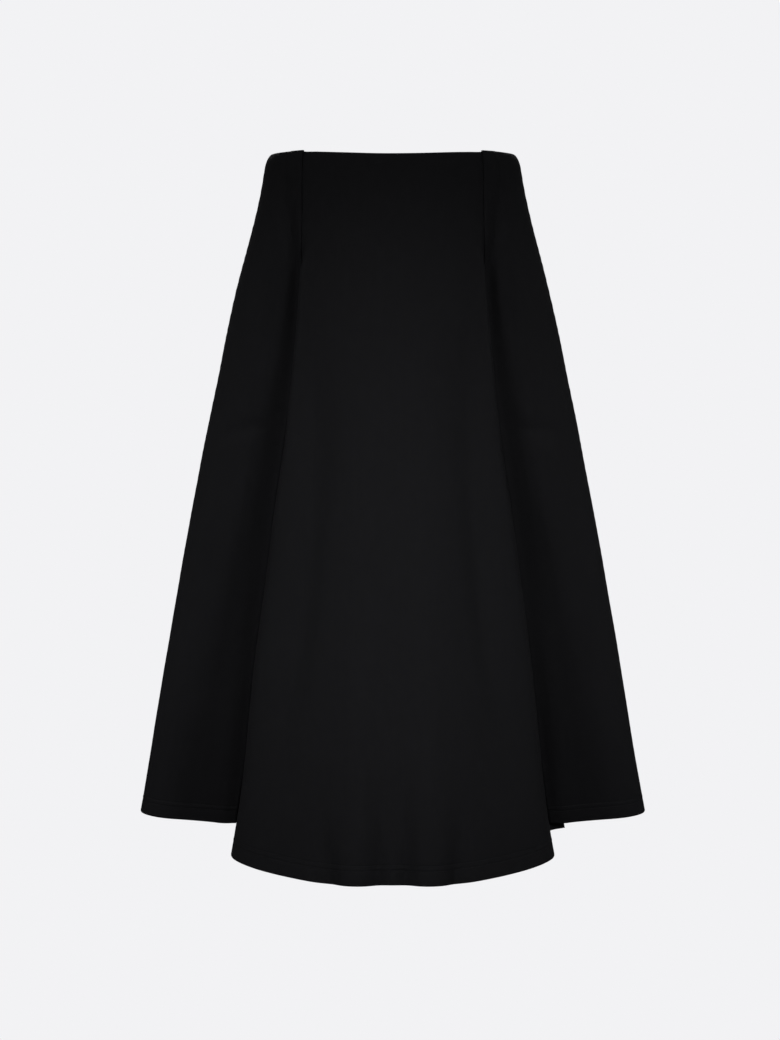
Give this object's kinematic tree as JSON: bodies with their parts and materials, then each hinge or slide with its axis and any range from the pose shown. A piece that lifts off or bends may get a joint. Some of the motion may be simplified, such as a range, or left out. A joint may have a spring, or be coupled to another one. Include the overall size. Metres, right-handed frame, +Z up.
{
  "type": "a-line skirt",
  "caption": "Panelled knit skirt, flared from waist to hem, open at both ends and filled out as if worn, with a broad fold beside the centre front on each side.",
  "frame": {"origin": "centre of the waist opening, level with the waist edge at the sides, where a wearer's waist holds the skirt", "axes": "+Z up out of the waist, -Y towards the front, +X towards the right-hand side as the front is seen"},
  "size_m": [0.5729, 0.486, 0.7506],
  "materials": {
    "double_knit": "smooth black double knit, matt with a soft sheen"
  },
  "bodies": {
    "root": {"front_centre": "double_knit", "side_front_left": "double_knit", "side_front_right": "double_knit", "back": "double_knit"}
  },
  "joints": []
}
